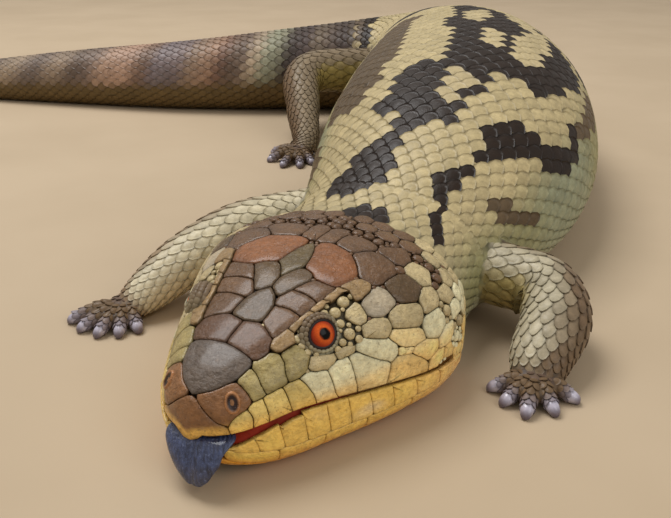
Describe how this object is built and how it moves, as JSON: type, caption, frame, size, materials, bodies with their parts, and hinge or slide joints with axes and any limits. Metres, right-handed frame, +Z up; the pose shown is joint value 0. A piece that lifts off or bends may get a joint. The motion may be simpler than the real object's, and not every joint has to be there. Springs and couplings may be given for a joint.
{
  "type": "blue tongued skink",
  "caption": "Blotched blue-tongued skink lying flat with its body bent in a C, head low to the floor, jaws parted and the broad tongue hanging out; a still life-size model.",
  "frame": {"origin": "on the floor under the front of the middle length of the trunk, on the belly's flat", "axes": "+Z up from the floor, -Y the way the animal faces apart from a turn of its head to -X, +X to its left as it lies"},
  "size_m": [0.3048, 0.3289, 0.0503],
  "materials": {
    "skin_head": "satin horny shields",
    "skin_jaw": "satin scales",
    "skin_body": "satin overlapping scales",
    "skin_tail": "satin overlapping scales",
    "skin_limb": "satin overlapping scales",
    "claw": "horn, slightly glossy",
    "tongue": "wet",
    "eye": "wet, glossy"
  },
  "bodies": {
    "root": {"head": "skin_head", "lower_jaw": "skin_jaw", "neck": "skin_body", "trunk_front": "skin_body", "trunk_middle": "skin_body", "trunk_rear": "skin_body", "tail_base": "skin_tail", "tail_middle": "skin_tail", "tail_end": "skin_tail", "tongue": "tongue", "eye_left": "eye", "eye_right": "eye", "fore_left_upper_leg": "skin_limb", "fore_left_lower_leg": "skin_limb", "fore_left_foot": "skin_limb", "fore_left_claw_1": "claw", "fore_left_claw_2": "claw", "fore_left_claw_3": "claw", "fore_left_claw_4": "claw", "fore_left_claw_5": "claw", "fore_right_upper_leg": "skin_limb", "fore_right_lower_leg": "skin_limb", "fore_right_foot": "skin_limb", "fore_right_claw_1": "claw", "fore_right_claw_2": "claw", "fore_right_claw_3": "claw", "fore_right_claw_4": "claw", "fore_right_claw_5": "claw", "hind_left_upper_leg": "skin_limb", "hind_left_lower_leg": "skin_limb", "hind_left_foot": "skin_limb", "hind_left_claw_1": "claw", "hind_left_claw_2": "claw", "hind_left_claw_3": "claw", "hind_left_claw_4": "claw", "hind_left_claw_5": "claw", "hind_right_upper_leg": "skin_limb", "hind_right_lower_leg": "skin_limb", "hind_right_foot": "skin_limb", "hind_right_claw_1": "claw", "hind_right_claw_2": "claw", "hind_right_claw_3": "claw", "hind_right_claw_4": "claw", "hind_right_claw_5": "claw"}
  },
  "joints": []
}
